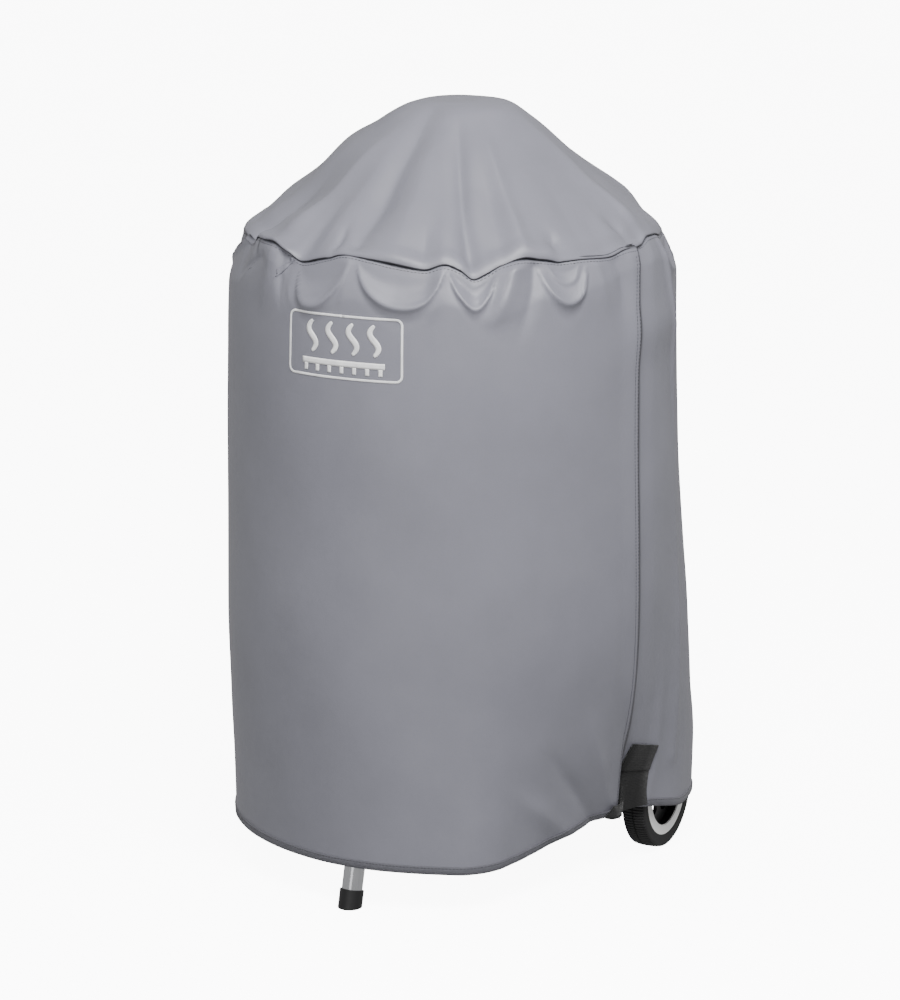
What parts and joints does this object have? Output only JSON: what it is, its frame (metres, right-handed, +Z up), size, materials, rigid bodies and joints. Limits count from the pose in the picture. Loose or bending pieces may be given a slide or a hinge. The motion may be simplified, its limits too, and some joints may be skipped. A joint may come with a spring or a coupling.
{
  "type": "kettle charcoal grill",
  "caption": "Round charcoal kettle grill on three legs and two wheels, with lid, grates, ash sweeper and pan, under a fitted grey fabric cover.",
  "frame": {"origin": "on the ground below the kettle's axis, at the centre of the bounding box's base", "axes": "+Z up, -Y towards the front leg, +X to the right, the wheel axle along X"},
  "size_m": [0.5526, 0.562, 0.93],
  "materials": {
    "enamel": "gloss porcelain enamel",
    "plated_wire": "nickel plated",
    "steel_strap": "satin",
    "bright_fastener": "bright zinc",
    "leg_aluminium": "bright drawn",
    "pan_aluminium": "satin",
    "sweeper_steel": "dull",
    "black_nylon": "fine texture",
    "wheel_plastic": "satin moulded",
    "white_trim": "satin white",
    "tyre_rubber": "matte rubber",
    "cover_fabric": "coated polyester, satin",
    "hem_tape": "woven tape",
    "webbing": "woven black"
  },
  "bodies": {
    "frame": {"bowl_shell": "enamel", "grate_supports": "steel_strap", "bowl_handle_bracket_left": "steel_strap", "bowl_handle_grip_left": "black_nylon", "bowl_handle_bracket_right": "steel_strap", "bowl_handle_grip_right": "black_nylon", "bowl_handle_screws": "bright_fastener", "front_leg": "leg_aluminium", "leg_socket_front": "steel_strap", "rear_leg_left": "leg_aluminium", "leg_socket_rear_left": "steel_strap", "rear_leg_right": "leg_aluminium", "leg_socket_rear_right": "steel_strap", "leg_screws": "bright_fastener", "front_leg_cap": "black_nylon", "rear_leg_plug_left": "black_nylon", "rear_leg_plug_right": "black_nylon", "axle": "bright_fastener", "axle_washers": "bright_fastener", "hub_cap_left": "black_nylon", "hub_cap_right": "black_nylon", "ash_pan_clips": "steel_strap", "wire_rack": "plated_wire"},
    "wheel_left": {"tyre_left": "tyre_rubber", "rim_left": "wheel_plastic", "trim_ring_left": "white_trim"},
    "wheel_right": {"tyre_right": "tyre_rubber", "rim_right": "wheel_plastic", "trim_ring_right": "white_trim"},
    "sweeper": {"sweeper_blades": "sweeper_steel", "sweeper_shaft": "sweeper_steel", "sweeper_pin": "bright_fastener", "sweeper_lever": "sweeper_steel", "sweeper_lever_grip": "black_nylon"},
    "ash_pan": {"ash_pan": "pan_aluminium"},
    "charcoal_grate": {"charcoal_grate": "plated_wire"},
    "cooking_grate": {"cooking_grate": "plated_wire"},
    "lid": {"lid_shell": "enamel", "lid_handle_bracket": "steel_strap", "lid_handle_grip": "black_nylon", "lid_handle_screws": "bright_fastener", "lid_hook": "plated_wire", "lid_damper_rivet": "bright_fastener"},
    "lid_damper": {"lid_damper": "pan_aluminium"},
    "cover": {"cover_top_panel": "cover_fabric", "cover_front_panel": "cover_fabric", "cover_rear_panel": "cover_fabric", "cover_hem_binding": "hem_tape", "cover_strap_left": "webbing", "cover_strap_right": "webbing"}
  },
  "joints": [
    {"name": "cover_lift", "type": "slide", "parent": "frame", "child": "cover", "axis": [0, 0, 1], "range_m": [0, 1]},
    {"name": "lid_lift", "type": "slide", "parent": "frame", "child": "lid", "axis": [0, 0, 1], "range_m": [0, 0.55]},
    {"name": "cooking_grate_lift", "type": "slide", "parent": "frame", "child": "cooking_grate", "axis": [0, 0, 1], "range_m": [0, 0.25]},
    {"name": "charcoal_grate_lift", "type": "slide", "parent": "frame", "child": "charcoal_grate", "axis": [0, 0, 1], "range_m": [0, 0.12]},
    {"name": "lid_damper_turn", "type": "hinge", "parent": "lid", "child": "lid_damper", "pos_m": [0, 0.11, 0.85125], "axis": [0, 0.3632, 0.9317], "range_deg": [0, 60]},
    {"name": "sweeper_turn", "type": "hinge", "parent": "frame", "child": "sweeper", "pos_m": [0, 0, 0.47], "axis": [0, 0, 1], "range_deg": [-30, 30]},
    {"name": "ash_pan_lift", "type": "slide", "parent": "frame", "child": "ash_pan", "axis": [0, 0, 1], "range_m": [0, 0.01]},
    {"name": "wheel_left_spin", "type": "hinge", "parent": "frame", "child": "wheel_left", "pos_m": [-0.227, 0.1125, 0.074], "axis": [1, 0, 0], "continuous": true},
    {"name": "wheel_right_spin", "type": "hinge", "parent": "frame", "child": "wheel_right", "pos_m": [0.227, 0.1125, 0.074], "axis": [1, 0, 0], "continuous": true}
  ],
  "couplings": [
    {"joint": "lid_lift", "follows": "cover_lift", "ratio": 0.55},
    {"joint": "cooking_grate_lift", "follows": "cover_lift", "ratio": 0.25},
    {"joint": "charcoal_grate_lift", "follows": "cover_lift", "ratio": 0.12}
  ]
}
